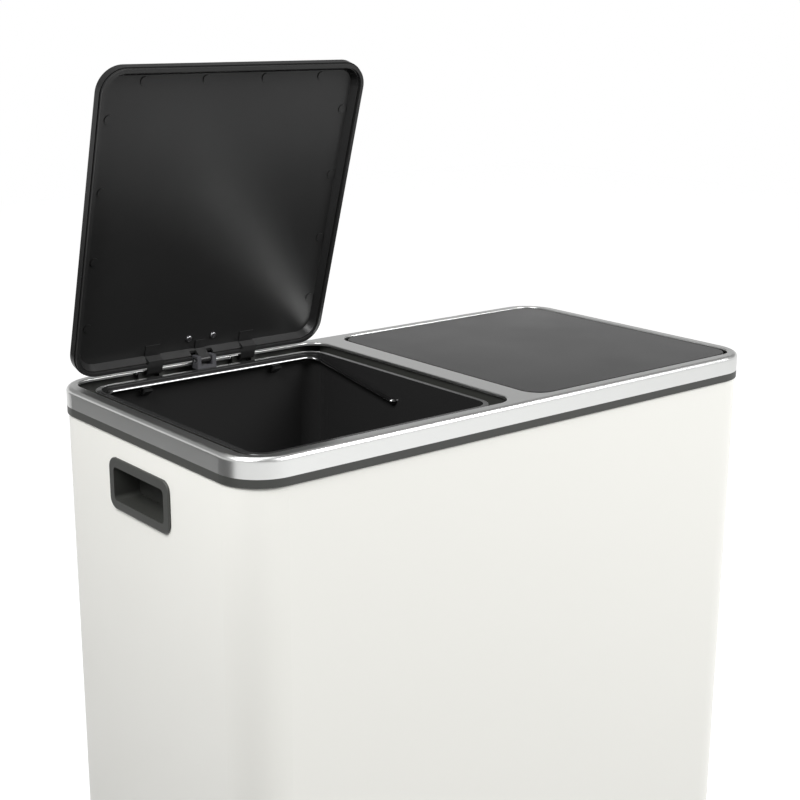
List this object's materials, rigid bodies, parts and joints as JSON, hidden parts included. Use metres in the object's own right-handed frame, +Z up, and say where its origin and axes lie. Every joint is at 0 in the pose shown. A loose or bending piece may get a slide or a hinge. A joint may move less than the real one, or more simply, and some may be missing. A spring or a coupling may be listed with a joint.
{
  "type": "double recycling bin",
  "caption": "Rectangular pedal bin with a steel body, a rim with twin hinged lids, lift-out buckets with wire bails, and side grips.",
  "frame": {"origin": "on the floor under the middle of the whole bin, pedals included", "axes": "+X to the right along the front, -Y to the front where the pedals are, +Z up"},
  "size_m": [0.587, 0.3428, 0.924],
  "materials": {
    "body_paint": "off-white powder coat, satin",
    "brushed_rim": "brushed along its length",
    "black_plastic": "fine moulded texture",
    "lid_paint": "smooth black paint, semi-gloss",
    "liner_plastic": "moulded black, satin gloss",
    "bucket_plastic": "glossy black",
    "dark_wire": "black coated wire",
    "screw_steel": "plain zinc plated",
    "pin_steel": "ground steel",
    "link_plastic": "plain moulded",
    "damper_plastic": "plain moulded",
    "zinc_sheet": "dark coated sheet",
    "rubber": "matt",
    "pedal_steel": "satin steel"
  },
  "bodies": {
    "bin": {"base_feet": "rubber", "base_screws": "screw_steel", "base_tray": "black_plastic", "body_shell": "body_paint", "collar_screws": "screw_steel", "left_bucket": "bucket_plastic", "left_damper_cylinder": "damper_plastic", "left_grip_cup": "black_plastic", "left_hinge_axle": "pin_steel", "lid_bumpers": "rubber", "pedal_axle": "pin_steel", "rear_partition": "zinc_sheet", "right_bail": "dark_wire", "right_bucket": "bucket_plastic", "right_damper_cylinder": "damper_plastic", "right_grip_cup": "black_plastic", "right_hinge_axle": "pin_steel", "rim_trim": "brushed_rim", "rod_guides": "link_plastic", "top_collar": "black_plastic"},
    "left_lid": {"left_lid_skin": "lid_paint", "left_lid_liner": "liner_plastic", "left_crank_pin": "pin_steel", "left_lid_screws": "screw_steel"},
    "left_rod": {"left_push_rod": "pin_steel", "left_rod_fork": "link_plastic", "left_damper_rod": "pin_steel"},
    "left_pedal": {"left_pedal_lever": "pedal_steel", "left_pedal_pad": "rubber"},
    "right_lid": {"right_lid_skin": "lid_paint", "right_lid_liner": "liner_plastic", "right_crank_pin": "pin_steel", "right_lid_screws": "screw_steel"},
    "right_rod": {"right_push_rod": "pin_steel", "right_rod_fork": "link_plastic", "right_damper_rod": "pin_steel"},
    "right_pedal": {"right_pedal_lever": "pedal_steel", "right_pedal_pad": "rubber"},
    "left_bail": {"left_bail": "dark_wire"}
  },
  "joints": [
    {"name": "left_lid_hinge", "type": "hinge", "parent": "bin", "child": "left_lid", "pos_m": [-0.1461, 0.1656, 0.646], "axis": [-1, 0, 0], "range_deg": [-73.4, 0]},
    {"name": "left_rod_slide", "type": "slide", "parent": "bin", "child": "left_rod", "axis": [0, 0, 1], "range_m": [-0.01674, 0]},
    {"name": "left_pedal_pivot", "type": "hinge", "parent": "bin", "child": "left_pedal", "pos_m": [-0.1461, 0.027, 0.023], "axis": [1, 0, 0], "range_deg": [-7.5, 0]},
    {"name": "right_lid_hinge", "type": "hinge", "parent": "bin", "child": "right_lid", "pos_m": [0.1461, 0.1656, 0.646], "axis": [-1, 0, 0], "range_deg": [0, 73.4]},
    {"name": "right_rod_slide", "type": "slide", "parent": "bin", "child": "right_rod", "axis": [0, 0, 1], "range_m": [0, 0.01674]},
    {"name": "right_pedal_pivot", "type": "hinge", "parent": "bin", "child": "right_pedal", "pos_m": [0.1461, 0.027, 0.023], "axis": [1, 0, 0], "range_deg": [0, 7.5]},
    {"name": "left_bail_swing", "type": "hinge", "parent": "bin", "child": "left_bail", "pos_m": [-0.1461, 0.0166, 0.621], "axis": [1, 0, 0], "range_deg": [0, 161.75]}
  ],
  "couplings": [
    {"joint": "left_rod_slide", "follows": "left_lid_hinge", "m_per_rad": 0.012908},
    {"joint": "left_pedal_pivot", "follows": "left_lid_hinge", "ratio": 0.10195},
    {"joint": "right_rod_slide", "follows": "right_lid_hinge", "m_per_rad": 0.012908},
    {"joint": "right_pedal_pivot", "follows": "right_lid_hinge", "ratio": 0.10195}
  ]
}
